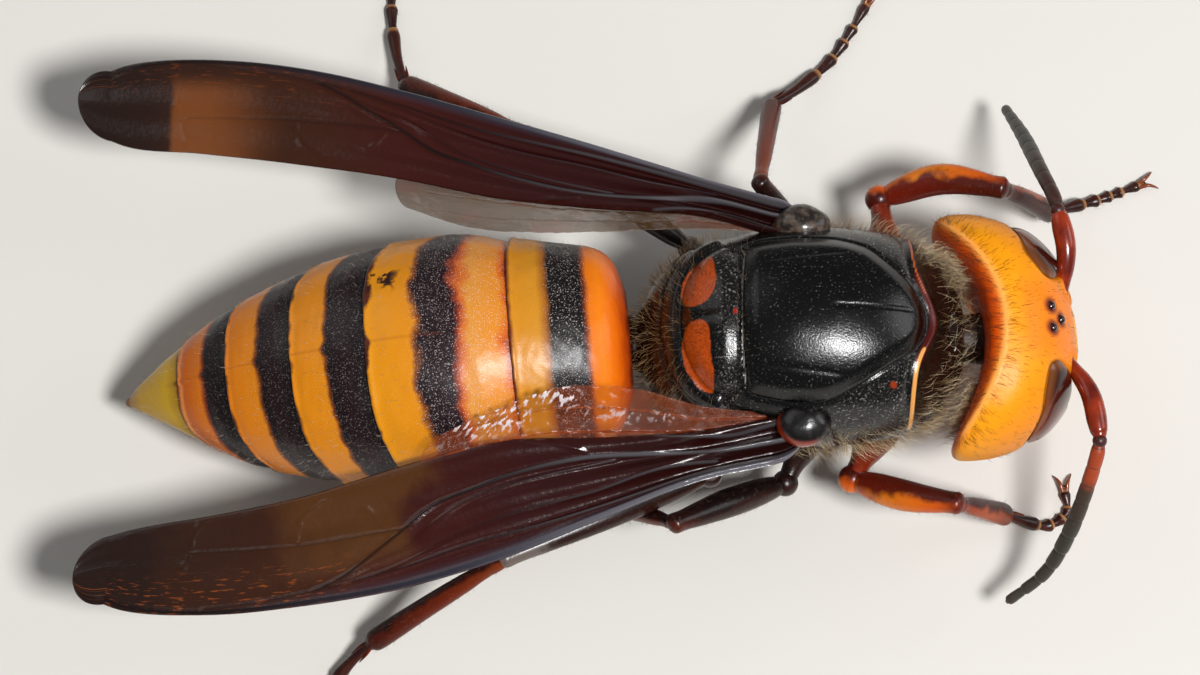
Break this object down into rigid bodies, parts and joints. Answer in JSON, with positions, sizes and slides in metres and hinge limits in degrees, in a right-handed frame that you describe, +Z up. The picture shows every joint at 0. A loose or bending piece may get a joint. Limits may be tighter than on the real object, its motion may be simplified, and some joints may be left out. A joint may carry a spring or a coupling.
{
  "type": "asian giant hornet",
  "caption": "Asian giant hornet as a still, life-size model, standing on its feet with wings folded back, black and orange banded body.",
  "frame": {"origin": "on the floor, under the middle of the whole outline", "axes": "+X towards the head, +Y to the hornet's left, +Z up"},
  "size_m": [0.0472, 0.038, 0.0128],
  "materials": {
    "shell": "orange-yellow chitin, satin gloss, fine dark hairs",
    "eye": "dark red-brown faceted eye, glossy",
    "jaw": "orange chitin, darker towards the teeth",
    "scape": "red-brown chitin, glossy",
    "flagellum": "dark olive-brown ringed chitin, matt",
    "thorax_black": "black finely pitted chitin, satin",
    "thorax_brown": "dark brown chitin under golden hairs",
    "scutellum": "black chitin with two orange-red spots",
    "gaster_banded": "orange and near-black bands, satin gloss",
    "gaster_tip": "yellow chitin, glossy",
    "forewing": "smoky brown membrane, glossy, dark veins",
    "hindwing": "clear brownish membrane, glossy, crinkled",
    "leg_upper": "orange-red chitin, glossy",
    "leg_dark": "dark red-brown chitin, satin gloss"
  },
  "bodies": {
    "root": {"head": "shell", "clypeus": "shell", "eye_left": "eye", "eye_right": "eye", "mandible_left": "jaw", "mandible_right": "jaw", "mouthparts": "jaw", "antenna_left_scape": "scape", "antenna_right_scape": "scape", "antenna_left_flagellum": "flagellum", "antenna_right_flagellum": "flagellum", "mesoscutum": "thorax_black", "mesothorax": "thorax_black", "metanotum": "thorax_black", "tegula_left": "thorax_black", "tegula_right": "thorax_black", "pronotum": "thorax_brown", "propodeum": "thorax_brown", "neck": "thorax_brown", "scutellum": "scutellum", "gaster_1": "gaster_banded", "gaster_2": "gaster_banded", "gaster_3": "gaster_banded", "gaster_4": "gaster_banded", "gaster_5": "gaster_banded", "gaster_6": "gaster_tip", "forewing_left": "forewing", "forewing_right": "forewing", "hindwing_left": "hindwing", "hindwing_right": "hindwing", "leg_front_left_femur": "leg_upper", "leg_front_right_femur": "leg_upper", "leg_front_left_coxa": "leg_dark", "leg_front_left_tibia": "leg_dark", "leg_front_left_tarsus": "leg_dark", "leg_front_right_coxa": "leg_dark", "leg_front_right_tibia": "leg_dark", "leg_front_right_tarsus": "leg_dark", "leg_mid_left_coxa": "leg_dark", "leg_mid_left_femur": "leg_dark", "leg_mid_left_tibia": "leg_dark", "leg_mid_left_tarsus": "leg_dark", "leg_mid_right_coxa": "leg_dark", "leg_mid_right_femur": "leg_dark", "leg_mid_right_tibia": "leg_dark", "leg_mid_right_tarsus": "leg_dark", "leg_hind_left_coxa": "leg_dark", "leg_hind_left_femur": "leg_dark", "leg_hind_left_tibia": "leg_dark", "leg_hind_left_tarsus": "leg_dark", "leg_hind_right_coxa": "leg_dark", "leg_hind_right_femur": "leg_dark", "leg_hind_right_tibia": "leg_dark", "leg_hind_right_tarsus": "leg_dark"}
  },
  "joints": []
}
